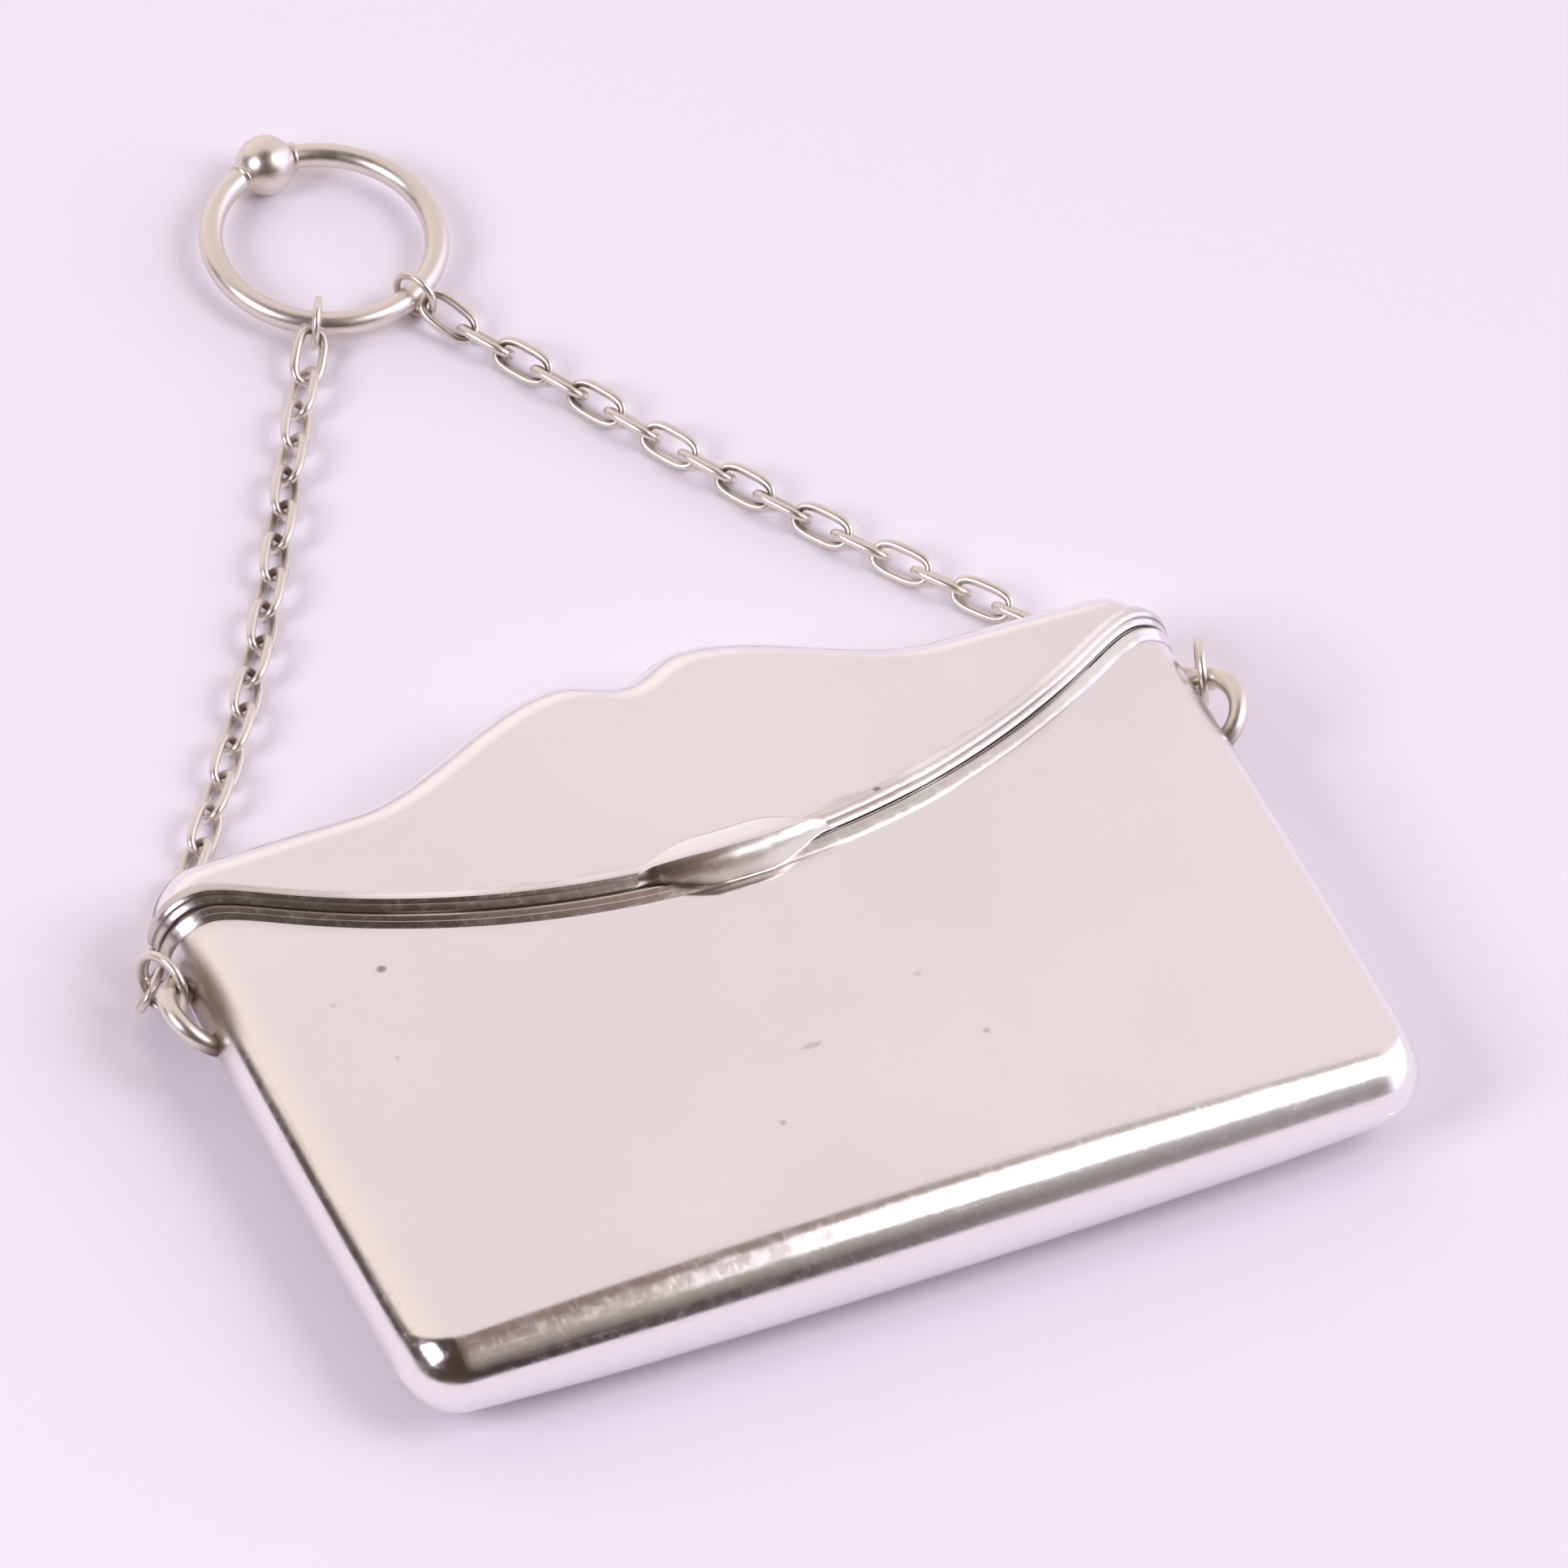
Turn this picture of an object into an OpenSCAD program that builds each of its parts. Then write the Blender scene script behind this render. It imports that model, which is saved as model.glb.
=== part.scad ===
// A flat silver case for calling cards: a shallow purse-shaped body, a lid hinged along its
// back edge, and a chain of two strands that ends in a finger ring.
// It lies on its back. X runs across it, Y up the case towards the ring, Z out of its front.
// The origin is the middle of the flat on the back of the body.

/* [Case] */
// Width across the sides
case_w = 95; // [94:0.5:96]
// Depth from the seam between the two halves to the front, in the middle
front_depth = 5.6; // [5.5:0.1:5.8]
// Depth from the seam between the two halves to the flat back
back_depth = 5.1; // [5:0.1:5.2]
// Radius of the front across the case
front_radius = 900; // [880:10:920]
// Width of the flat on the back
back_flat_w = 52; // [50:1:54]
// Radius of the round at the sides of the back
back_side_r = 3.2; // [3:0.1:3.4]
// Thickness of the sheet
wall = 0.55; // [0.5:0.05:0.6]
// Radius of the corners of the outline
corner_r = 5; // [4.5:0.5:5.5]
// How far the bottom edge bows down in the middle
bottom_bow = 0.9; // [0.8:0.1:1]
// How much each side draws in at the far corners
side_belly = 0.5; // [0.3:0.1:0.6]

/* [Seam and lid] */
// Height of the front seam in the middle, above the bottom edge
seam_low = 41.8; // [41.5:0.1:42]
// Radius of the curved front seam
seam_radius = 76.5; // [75.5:0.5:77.5]
// Distance from the middle at which the seam turns level
seam_reach = 43; // [42.5:0.5:43]
// Gap along the seam when the lid is shut
seam_gap = 0.3; // [0.25:0.05:0.35]
// Height of the lid's shoulders above the bottom edge
shoulder_y = 62.2; // [62:0.1:62.5]
// How far the shoulders droop towards the sides
shoulder_droop = 0.7; // [0.6:0.1:0.8]
// How far the crest stands above the shoulders
crest_rise = 6.6; // [6.3:0.1:6.8]
// Half width of the crest's foot
crest_foot = 27.5; // [27:0.5:28]
// Distance of each crest lobe from the middle
crest_lobe = 6; // [5.5:0.5:6.5]
// Depth of the notch between the lobes
crest_notch = 1.9; // [1.6:0.1:2]
// Reach of the round along the lid's back edge, as a multiple of its depth
lid_back_ease = 1.45; // [1.4:0.05:1.5]

/* [Hinge] */
// Radius of the knuckles
knuckle_r = 0.6; // [0.6:0.02:0.64]
// Length of the hinge
hinge_len = 44; // [42:1:46]
// Radius of the hinge pin
pin_r = 0.28; // [0.26:0.01:0.3]
// Running clearance between the pin and the lid's knuckles
pin_clear = 0.04; // [0.03:0.01:0.05]

/* [Carry loops] */
// Radius of the loop's centre line
loop_r = 3.6; // [3.6:0.05:3.7]
// Thickness of the loop's wire
loop_wire = 1.5; // [1.4:0.1:1.5]
// Height of the loops above the bottom edge
loop_y = 47.2; // [47:0.1:47.3]
// Tilt of the loops up from level
loop_tilt = 35; // [34:1:36]

/* [Chain] */
// Links in each strand
links = 20; // [20]
// Length of a link over all
link_len = 6; // [5.95:0.05:6]
// Width of a link over all
link_w = 3.3; // [3.25:0.05:3.3]
// Thickness of the links' wire
link_wire = 0.75; // [0.7:0.05:0.75]
// Inward bow of each strand
strand_bow = 1.8; // [1.7:0.1:1.9]

/* [Finger ring] */
// Radius of the ring's centre line
ring_r = 10.1; // [10.05:0.05:10.15]
// Radius of the ring's round wire
ring_wire_r = 1; // [0.95:0.05:1]
// Radius of the ball
ball_r = 2.6; // [2.5:0.1:2.6]

/* [Hidden] */

// Heights up the case are measured from its bottom edge; the origin is rest_y above that edge.
rest_y = 31;
mid_z = back_depth;          // the seam between the front and back halves
table_z = -0.5;              // the knuckles are proud of the back and touch the table
hinge_z = table_z + knuckle_r;
side_y = seam_low + seam_radius - sqrt(pow(seam_radius, 2) - pow(seam_reach, 2));

// A half section is an arc over the face and a small round at the side, tangent to each other.
side_r = (2*front_radius*front_depth - pow(front_depth, 2) - pow(case_w/2, 2)) / (2*front_radius - case_w);
back_radius = (pow(case_w/2 - back_side_r - back_flat_w/2, 2) + pow(back_depth, 2) - pow(back_side_r, 2))
              / (2*(back_depth - back_side_r));
FACE_STEPS = 12;
SIDE_STEPS = 6;
ROLL_STEPS = 6;
WALL_STEPS = 3;
COLS = 2*(FACE_STEPS + SIDE_STEPS);

// Column i of a section: [x, height above the middle plane, normal x, normal z].
function arc_point(cx, r, top, a) = [cx + r*sin(a), top - r + r*cos(a), sin(a), cos(a)];
function half_column(k, flat, r, depth, side) =
    let (end = case_w/2 - side, turn = atan2(end - flat, r - depth), arcs = FACE_STEPS - (flat > 0 ? 5 : 0))
    k <= FACE_STEPS - arcs && flat > 0 ? [flat*k/(FACE_STEPS - arcs), depth, 0, 1]
    : k <= FACE_STEPS ? arc_point(flat, r, depth, turn*(k - FACE_STEPS + arcs)/arcs)
    : arc_point(end, side, side, turn + (90 - turn)*(k - FACE_STEPS)/SIDE_STEPS);
function column(i, flat, r, depth, side) =
    let (k = i - COLS/2, c = half_column(abs(k), flat, r, depth, side), s = k < 0 ? -1 : 1)
    [s*c[0], c[1], s*c[2], c[3]];
function front_columns() = [for (i = [0 : COLS]) column(i, 0, front_radius, front_depth, side_r)];
function back_columns() =
    [for (i = [0 : COLS]) column(i, back_flat_w/2, back_radius, back_depth, back_side_r)];

// Outline of the case, as heights above the bottom edge at a distance x from the middle.
function corner(x) = let (d = max(0, abs(x) - case_w/2 + corner_r))
    corner_r - sqrt(max(0, pow(corner_r, 2) - pow(d, 2)));
function bottom(x) = bottom_bow*pow(2*x/case_w, 2) + corner(x);
function ease(u) = let (v = max(0, min(1, u))) v*v*(3 - 2*v);
function crest(x) = crest_rise*ease((crest_foot - abs(x))/(crest_foot - crest_lobe))
    - (abs(x) < crest_lobe ? crest_notch*(0.5 + 0.5*cos(180*x/crest_lobe)) : 0);
function top(x) = shoulder_y - shoulder_droop*pow(2*x/case_w, 2) + crest(x) - corner(x);
function front_seam(x) = seam_low + seam_radius
    - sqrt(pow(seam_radius, 2) - pow(min(abs(x), seam_reach), 2));
function belly(y) = 1 - 2*side_belly/case_w*pow((y - 34)/34, 2);

// Row j of a shell: the first rows round over the closed edge, the others run straight on to
// the seam. The round reaches `ease_in` times as far up the case as it is deep, but where little
// height is left, near the corners, it is smaller.
function roll(c, tall, ease_in, side) = min(ease_in*max(c[1], side), 0.85*tall);
function shell_point(c, depth_in, edge, seam, dir, side, ease_in, j) =
    let (a = min(90, 90*j/ROLL_STEPS), r = roll(c, abs(seam - edge), ease_in, side),
         start = edge + dir*r,
         y = j <= ROLL_STEPS ? edge + dir*(r*(1 - cos(a)) + min(depth_in, 0.6*r)*cos(a))
             : start + (seam - start)*(j - ROLL_STEPS)/WALL_STEPS,
         x = c[0] - depth_in*c[2])
    [x*belly(y), y, (c[1] - depth_in*c[3])*sin(a)];

// A closed skin between an outer and an inner grid of points, with n columns and m rows.
module skin(outer, inner, flip = false) {
    n = len(outer);
    m = len(outer[0]);
    cells = [for (i = [0 : n - 2], j = [0 : m - 2]) [i*m + j, i*m + j + 1, (i + 1)*m + j + 1, (i + 1)*m + j]];
    rim = concat([for (j = [0 : m - 1]) j], [for (i = [1 : n - 1]) i*m + m - 1],
                 [for (j = [m - 2 : -1 : 0]) (n - 1)*m + j], [for (i = [n - 2 : -1 : 1]) i*m]);
    k = n*m;
    quads = concat([for (q = cells) [q[0], q[1], q[2], q[3]]],
                   [for (q = cells) [q[3] + k, q[2] + k, q[1] + k, q[0] + k]],
                   [for (s = [0 : len(rim) - 1]) let (a = rim[s], b = rim[(s + 1) % len(rim)])
                       [a, a + k, b + k, b]]);
    faces = [for (q = quads, t = [[q[0], q[1], q[2]], [q[0], q[2], q[3]]])
             flip ? [t[2], t[1], t[0]] : t];
    polyhedron(points = concat([for (c = outer, p = c) p], [for (c = inner, p = c) p]), faces = faces);
}
module half_shell(cols, edges, seams, dir, side, ease_in = 1) {
    rows = ROLL_STEPS + WALL_STEPS;
    grid = function (t) [for (i = [0 : COLS]) [for (j = [0 : rows])
        shell_point(cols[i], t, edges[i], seams[i], dir, side, ease_in, j)]];
    translate([0, -rest_y, mid_z]) skin(grid(0), grid(wall), dir < 0);
}
module front_shell(edges, seams, dir) half_shell(front_columns(), edges, seams, dir, side_r);
module back_shell(edges, seams, dir, ease_in = 1)
    translate([0, 0, mid_z]) mirror([0, 0, 1]) translate([0, 0, -mid_z])
        half_shell(back_columns(), edges, seams, dir, back_side_r, ease_in);
function over(cols, shift, f) = [for (c = cols) f(c[0]) + shift];
module hinge_slot() {
    reach = knuckle_r + 0.15;
    translate([-hinge_len/2 - 0.1, side_y - rest_y - reach, table_z - 1])
        cube([hinge_len + 0.2, 2*reach, 3]);
}
module body_front_shell() color("silver")
    front_shell(over(front_columns(), 0, function (x) bottom(x)),
                over(front_columns(), -seam_gap/2, function (x) front_seam(x)), 1);
module body_back_shell() color("silver") difference() {
    back_shell(over(back_columns(), 0, function (x) bottom(x)),
               over(back_columns(), -seam_gap/2, function (x) side_y), 1);
    hinge_slot();
}
module lid_front_shell() color("silver")
    front_shell(over(front_columns(), 0, function (x) top(x)),
                over(front_columns(), seam_gap/2, function (x) front_seam(x)), -1);
module lid_back_shell() color("silver") difference() {
    back_shell(over(back_columns(), 0, function (x) top(x)),
               over(back_columns(), seam_gap/2, function (x) side_y), -1, lid_back_ease);
    hinge_slot();
}

// Strips that follow the front seam. A section is a list of [height from the seam, how far it
// stands out of the case]; it is carried along the columns first to last.
module seam_strip(first, last, profile, mirrored = false) {
    cols = front_columns();
    at = [for (i = [first : last]) let (c = cols[i], s = front_seam(c[0]))
        [for (p = profile(c[0])) let (y = s + p[0])
            [(c[0] + p[1]*c[2])*belly(y), y - rest_y, mid_z + c[1] + p[1]*c[3]]]];
    tube(at);
}
// A closed tube through rings of points, capped at both ends.
module tube(rings) {
    n = len(rings);
    m = len(rings[0]);
    sides = [for (i = [0 : n - 2], j = [0 : m - 1], t = [0, 1])
        let (a = i*m + j, b = i*m + (j + 1) % m)
        t == 0 ? [a, b, b + m] : [a, b + m, a + m]];
    first_cap = [for (j = [1 : m - 2]) [0, j + 1, j]];
    last_cap = [for (j = [1 : m - 2]) [(n - 1)*m, (n - 1)*m + j, (n - 1)*m + j + 1]];
    polyhedron(points = [for (r = rings, p = r) p], faces = concat(sides, first_cap, last_cap));
}
body_rim_section = [[-0.2, -0.1], [-0.2, 0.3], [-0.6, 0.45], [-1.1, 0.35], [-1.5, 0.06], [-1.5, -0.1]];
lid_rim_section = [[2.5, -0.1], [2.5, 0.1], [2, 0.42], [1.4, 0.78], [0.7, 0.74], [0.2, 0.4], [0.2, -0.1]];
module body_rim() color("silver") seam_strip(0, COLS, function (x) body_rim_section);
module lid_rim() color("silver") seam_strip(0, COLS, function (x) lid_rim_section);

// The thumb piece stands on the lid's rim and hangs over the body's rim, so a thumb can lift it.
thumb_half = 10;
THUMB_STEPS = 16;
function thumb_top(x) = 1.3 + 2.8*ease(1 - abs(x)/thumb_half);
function thumb_section(x) =
    let (u = abs(x)/thumb_half, swell = 0.35 + 0.65*cos(90*u), low = -1.1 - 1.2*(1 - u*u),
         high = thumb_top(x) + 0.3, under = 0.74)
    [[high, -0.1], [high, 0.2], [low + 0.75*(high - low), 0.35 + 0.35*swell],
     [low + 0.45*(high - low), 0.6 + 0.6*swell], [low + 0.18*(high - low), 0.85 + 0.85*swell],
     [low + 0.04*(high - low), 0.85 + 0.75*swell], [low, under + 0.25], [low, under],
     [0.25, under], [0.25, -0.1]];
module thumb_piece() color("silver") {
    rings = [for (k = [0 : THUMB_STEPS])
        let (x = thumb_half*(2*k/THUMB_STEPS - 1), a = asin(x/front_radius),
             c = arc_point(0, front_radius, front_depth, a), s = front_seam(x))
        [for (p = thumb_section(x)) let (y = s + p[0])
            [(c[0] + p[1]*c[2])*belly(y), y - rest_y, mid_z + c[1] + p[1]*c[3]]]];
    tube(rings);
}

// The liner is soldered inside the body's mouth and stands up inside the shut lid.
liner_t = 0.4;
liner_section = [[-3, -wall + 0.03], [-0.9, -wall + 0.03], [-0.4, -wall - 0.2], [1.6, -wall - 0.2],
                 [1.6, -wall - 0.2 - liner_t], [-0.5, -wall - 0.2 - liner_t],
                 [-1, -wall + 0.03 - liner_t], [-3, -wall + 0.03 - liner_t]];
LINER_END = 7;
module mouth_liner() color("gainsboro")
    seam_strip(LINER_END, COLS - LINER_END, function (x) liner_section);

// The hinge: five knuckles on one pin, three on the body and two on the lid. Each leaf lies on
// the inside of the back, where the back is flat.
KNUCKLES = 5;
knuckle_pitch = hinge_len/KNUCKLES;
knuckle_gap = 0.1;
leaf_w = 3.2;
leaf_t = 0.35;
module along_x(x, y, z) translate([x, y, z]) rotate([0, 90, 0]) children();
module knuckle(k, dir, bore_r) {
    x0 = -hinge_len/2 + k*knuckle_pitch + knuckle_gap/2;
    long = knuckle_pitch - knuckle_gap;
    difference() {
        union() {
            along_x(x0, side_y - rest_y, hinge_z) cylinder(r = knuckle_r, h = long, $fn = 48);
            translate([x0, side_y - rest_y + (dir < 0 ? -leaf_w : 0), wall]) cube([long, leaf_w, leaf_t]);
            translate([x0, side_y - rest_y + (dir < 0 ? -knuckle_r : 0), hinge_z])
                cube([long, knuckle_r, wall + leaf_t - hinge_z]);
        }
        along_x(x0 - 1, side_y - rest_y, hinge_z) cylinder(r = bore_r, h = long + 2, $fn = 48);
    }
}
module body_hinge_leaf() color("silver") for (k = [0 : 2 : KNUCKLES - 1]) knuckle(k, -1, pin_r);
module lid_hinge_leaf() color("silver") for (k = [1 : 2 : KNUCKLES - 1]) knuckle(k, 1, pin_r + pin_clear);
module hinge_pin() color("gray")
    along_x(-hinge_len/2, side_y - rest_y, hinge_z) cylinder(r = pin_r, h = hinge_len, $fn = 48);

// Rings and links. A frame is [centre, long direction, cross direction], all in case places.
function unit(v) = v/norm(v);
module in_frame(centre, u, v) {
    w = cross(u, v);
    multmatrix([[u[0], v[0], w[0], centre[0]], [u[1], v[1], w[1], centre[1]],
                [u[2], v[2], w[2], centre[2]], [0, 0, 0, 1]]) children();
}
module round_ring(centre, normal, r, wire_r) {
    u = unit(cross(normal, abs(normal[2]) < 0.9 ? [0, 0, 1] : [1, 0, 0]));
    in_frame(centre, u, unit(cross(normal, u)))
        rotate_extrude($fn = 96) translate([r, 0]) circle(r = wire_r, $fn = 32);
}
module link(centre, u, v) {
    r = (link_w - link_wire)/2;
    half = (link_len - link_w)/2;
    in_frame(centre, u, v) for (s = [-1, 1]) {
        translate([s*half, 0, 0]) rotate(-s*90) rotate_extrude(angle = 180, $fn = 64)
            translate([r, 0]) circle(r = link_wire/2, $fn = 24);
        translate([-half, s*r, 0]) rotate([0, 90, 0]) cylinder(d = link_wire, h = 2*half, $fn = 24);
    }
}
module on_side(side) {
    if (side < 0) mirror([1, 0, 0]) children();
    else children();
}
module side_loop(side) on_side(side)
    translate([case_w/2 - 0.5, loop_y - rest_y, mid_z]) rotate([0, -loop_tilt, 0]) rotate(-90)
        rotate_extrude(angle = 180, $fn = 96) translate([loop_r, 0]) circle(d = loop_wire, $fn = 32);
module left_side_loop() color("silver") side_loop(-1);
module right_side_loop() color("silver") side_loop(1);

// A jump ring hangs in each loop and holds the first link of its strand.
jump_at = [48.95, 51.33, 6.16];
jump_normal = [0.93, -0.344, 0.127];
jump_r = 2.7;
function in_case(p) = [p[0], p[1] - rest_y, table_z + p[2]];
module jump_ring(side) on_side(side)
    round_ring(in_case(jump_at), unit(jump_normal), jump_r, link_wire/2);
module left_jump_ring() color("silver") jump_ring(-1);
module right_jump_ring() color("silver") jump_ring(1);

// A strand runs from the jump ring to the end ring. It bows inward, comes down to the table
// within strand_drop of its start and rises again within strand_lift of its end.
strand_from = [50.7, 51];
strand_to = [4.72, 120.15];
strand_len = norm(strand_to - strand_from);
strand_start_z = 4.6;
strand_drop = 11.2;
strand_end_rise = 2.1;
strand_lift = 8;
lie_z = 1.3;
first_link_at = 3.15;
last_link_at = strand_len - 3.75;
link_pitch = (last_link_at - first_link_at)/(links - 1);
function strand_point(s) =
    let (u = unit(strand_to - strand_from),
         p = strand_from + u*s + [-u[1], u[0]]*strand_bow*pow(sin(180*s/strand_len), 2))
    in_case([p[0], p[1], lie_z + (strand_start_z - lie_z)*pow(max(0, 1 - s/strand_drop), 2)
                         + strand_end_rise*pow(max(0, 1 - (strand_len - s)/strand_lift), 2)]);
// Links lie at 45 degrees, left and right in turn. The first two are turned a little further, to
// meet the jump ring, and the last one lies flatter, to meet the end ring.
function link_roll(k) = k == links - 1 ? -25 : (k % 2 == 0 ? 45 : -45) + (k < 2 ? 24 : 0);
module strand(side, first, last) on_side(side) for (k = [first : last]) {
    s = first_link_at + k*link_pitch;
    d = unit(strand_point(s + 0.05) - strand_point(s));
    level = unit(cross([0, 0, 1], d));
    link(strand_point(s), d, level*cos(link_roll(k)) + cross(d, level)*sin(link_roll(k)));
}
fold_link = 7;
module left_first_link() color("silver") strand(-1, 0, 0);
module right_first_link() color("silver") strand(1, 0, 0);
module left_chain_root() color("silver") strand(-1, 1, fold_link - 1);
module right_chain_root() color("silver") strand(1, 1, fold_link - 1);
module left_fold_link() color("silver") strand(-1, fold_link, fold_link);
module right_fold_link() color("silver") strand(1, fold_link, fold_link);
module left_chain() color("silver") strand(-1, fold_link + 1, links - 2);
module right_chain() color("silver") strand(1, fold_link + 1, links - 2);
module left_last_link() color("silver") strand(-1, links - 1, links - 1);
module right_last_link() color("silver") strand(1, links - 1, links - 1);

// The finger ring rests on its ball and on the end rings, so it is tilted a little.
ring_at = [0, 129.4, 2.3];
ring_slope = 0.03;
ball_angle = 98;
collar_r = 1.3;
collar_from = 13.2;
collar_turn = 4;
module ring_frame() in_frame(in_case(ring_at), [1, 0, 0], unit([0, 1, ring_slope])) children();
module ring_hoop() rotate_extrude($fn = 128) translate([ring_r, 0]) circle(r = ring_wire_r, $fn = 48);
module finger_ring() color("silver") ring_frame() ring_hoop();
module ring_ball() color("silver") ring_frame() difference() {
    rotate(ball_angle) translate([ring_r, 0, 0]) sphere(r = ball_r, $fn = 64);
    ring_hoop();
}
module ring_collars() color("silver") ring_frame() for (a = [-collar_from - collar_turn, collar_from])
    rotate(ball_angle + a) rotate_extrude(angle = collar_turn, $fn = 128) translate([ring_r, 0])
        difference() {
            circle(r = collar_r, $fn = 48);
            circle(r = ring_wire_r, $fn = 48);
        }

// The end rings stand on edge round the finger ring's wire, each at end_ring_turn from straight
// down the case.
end_ring_turn = 27;
end_ring_reach = 10.5;
end_ring_r = 2.1;
end_ring_wire = 0.7;
end_ring_at = [end_ring_reach*sin(end_ring_turn), ring_at[1] - end_ring_reach*cos(end_ring_turn),
               end_ring_r + end_ring_wire/2];
module end_ring(side) on_side(side)
    round_ring(in_case(end_ring_at), [cos(end_ring_turn), sin(end_ring_turn), 0],
               end_ring_r, end_ring_wire/2);
module left_end_ring() color("silver") end_ring(-1);
module right_end_ring() color("silver") end_ring(1);

body_front_shell();
body_back_shell();
body_rim();
mouth_liner();
body_hinge_leaf();
hinge_pin();
lid_front_shell();
lid_back_shell();
lid_rim();
thumb_piece();
lid_hinge_leaf();
left_side_loop();
right_side_loop();
left_jump_ring();
right_jump_ring();
left_first_link();
right_first_link();
left_chain_root();
right_chain_root();
left_fold_link();
right_fold_link();
left_chain();
right_chain();
left_last_link();
right_last_link();
left_end_ring();
right_end_ring();
finger_ring();
ring_ball();
ring_collars();
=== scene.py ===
"""A silver case for calling cards, lying on its back on pale paper with its carry chain laid out
above it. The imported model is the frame: X across the case, Y up it towards the ring, Z out of
its front, in metres."""

import bpy
import numpy as np
from mathutils import Matrix, Vector


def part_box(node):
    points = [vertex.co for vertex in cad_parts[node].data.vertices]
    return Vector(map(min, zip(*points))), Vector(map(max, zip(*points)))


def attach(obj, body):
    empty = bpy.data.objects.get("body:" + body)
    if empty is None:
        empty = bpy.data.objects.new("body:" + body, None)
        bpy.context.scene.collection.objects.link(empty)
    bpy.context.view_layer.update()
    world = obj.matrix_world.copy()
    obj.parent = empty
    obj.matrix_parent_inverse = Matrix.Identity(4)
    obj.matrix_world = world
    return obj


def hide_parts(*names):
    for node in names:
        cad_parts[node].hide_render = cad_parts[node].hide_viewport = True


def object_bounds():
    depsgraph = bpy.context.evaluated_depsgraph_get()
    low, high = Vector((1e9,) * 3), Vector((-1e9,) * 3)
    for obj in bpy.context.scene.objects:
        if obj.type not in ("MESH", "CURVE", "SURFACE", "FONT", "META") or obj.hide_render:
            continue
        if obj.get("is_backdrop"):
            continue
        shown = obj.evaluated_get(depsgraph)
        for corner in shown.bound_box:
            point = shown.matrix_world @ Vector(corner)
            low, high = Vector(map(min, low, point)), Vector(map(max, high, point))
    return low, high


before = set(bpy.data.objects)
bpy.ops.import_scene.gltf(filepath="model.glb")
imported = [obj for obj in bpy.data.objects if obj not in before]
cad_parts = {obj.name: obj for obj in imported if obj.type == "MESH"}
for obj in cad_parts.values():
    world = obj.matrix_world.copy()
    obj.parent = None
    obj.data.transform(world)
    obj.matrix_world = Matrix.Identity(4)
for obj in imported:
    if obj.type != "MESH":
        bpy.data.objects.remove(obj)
cad_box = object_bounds()
scene = bpy.context.scene
scene.view_settings.view_transform = "Standard"
mm = 0.001


# ---- Camera ---------------------------------------------------------------------------------
# The photograph is taken from in front and above, turned to the right and rolled a little, with
# a long lens, so parallel edges stay nearly parallel.
photo_px = 1932
focal_px = 16817
film_width = 36                      # millimetres
azimuth, elevation, roll = np.radians([-29.2, 48.48, 5.97])
aim = np.array([12.30, 26.47, -0.5]) * mm
distance = 1180.3 * mm

sight = np.array([-np.sin(azimuth) * np.cos(elevation), np.cos(azimuth) * np.cos(elevation),
                  -np.sin(elevation)])
level = np.cross(sight, [0, 0, 1])
level /= np.linalg.norm(level)
upright = np.cross(level, sight)
across = np.cos(roll) * level + np.sin(roll) * upright
upward = np.cos(roll) * upright - np.sin(roll) * level
lens = bpy.data.cameras.new("photo_lens")
lens.sensor_width = film_width
lens.lens = film_width * focal_px / photo_px
camera = bpy.data.objects.new("photo_camera", lens)
camera_turn = Matrix(np.column_stack([across, upward, -sight]).tolist()).to_4x4()
camera.matrix_world = Matrix.Translation(Vector(aim - sight * distance)) @ camera_turn
scene.collection.objects.link(camera)
scene.camera = camera


# ---- Paper and light ------------------------------------------------------------------------
# The case lies on a sheet of lilac-white paper, with a white tent on the far side, a dim room with
# a window to the right on the camera's side, and a large soft lamp on each side.
class Wire:
    """An output of a shader node. Sums, differences and products of wires and numbers add Math
    nodes, and `node` adds any other node."""

    def __init__(self, tree, socket=None):
        self.tree = tree
        self.socket = socket

    def node(self, kind, inputs, output=0, **settings):
        """Adds a node: its settings come first, then its sockets' values or wires."""
        made = self.tree.nodes.new(kind)
        for name, value in settings.items():
            if name == "stops":
                ramp = made.color_ramp
                while len(ramp.elements) < len(value):
                    ramp.elements.new(0.5)
                for stop, (place, colour) in zip(ramp.elements, value):
                    stop.position, stop.color = place, (*colour, 1)
            else:
                setattr(made, name, value)
        for name, value in inputs.items():
            if isinstance(value, Wire):
                self.tree.links.new(value.socket, made.inputs[name])
            elif hasattr(value, "__len__") and made.inputs[name].type == "RGBA":
                made.inputs[name].default_value = (*value, 1)[:4]
            else:
                made.inputs[name].default_value = value
        return Wire(self.tree, made.outputs[output] if made.outputs else None)

    def math(self, operation, first, second):
        """A Math node on two wires or numbers."""
        return self.node("ShaderNodeMath", {0: first, 1: second}, operation=operation)

    def __add__(self, other):
        return self.math("ADD", self, other)

    def __sub__(self, other):
        return self.math("SUBTRACT", self, other)

    def __rsub__(self, other):
        return self.math("SUBTRACT", other, self)

    def __mul__(self, other):
        return self.math("MULTIPLY", self, other)

    __radd__ = __add__
    __rmul__ = __mul__

    def rise(self, low, high):
        """0 below low, 1 above high and a smooth S between them."""
        return self.node("ShaderNodeMapRange", {"Value": self, "From Min": low, "From Max": high},
                         interpolation_type="SMOOTHSTEP")

    def blend(self, start, end):
        """The colour start where this wire is 0, and the colour end where it is 1."""
        return self.node("ShaderNodeMix", {0: self, 6: start, 7: end}, output=2, data_type="RGBA")

    def xyz(self):
        """The three numbers of a vector."""
        return [self.node("ShaderNodeSeparateXYZ", {0: self}, output=k) for k in range(3)]


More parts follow.
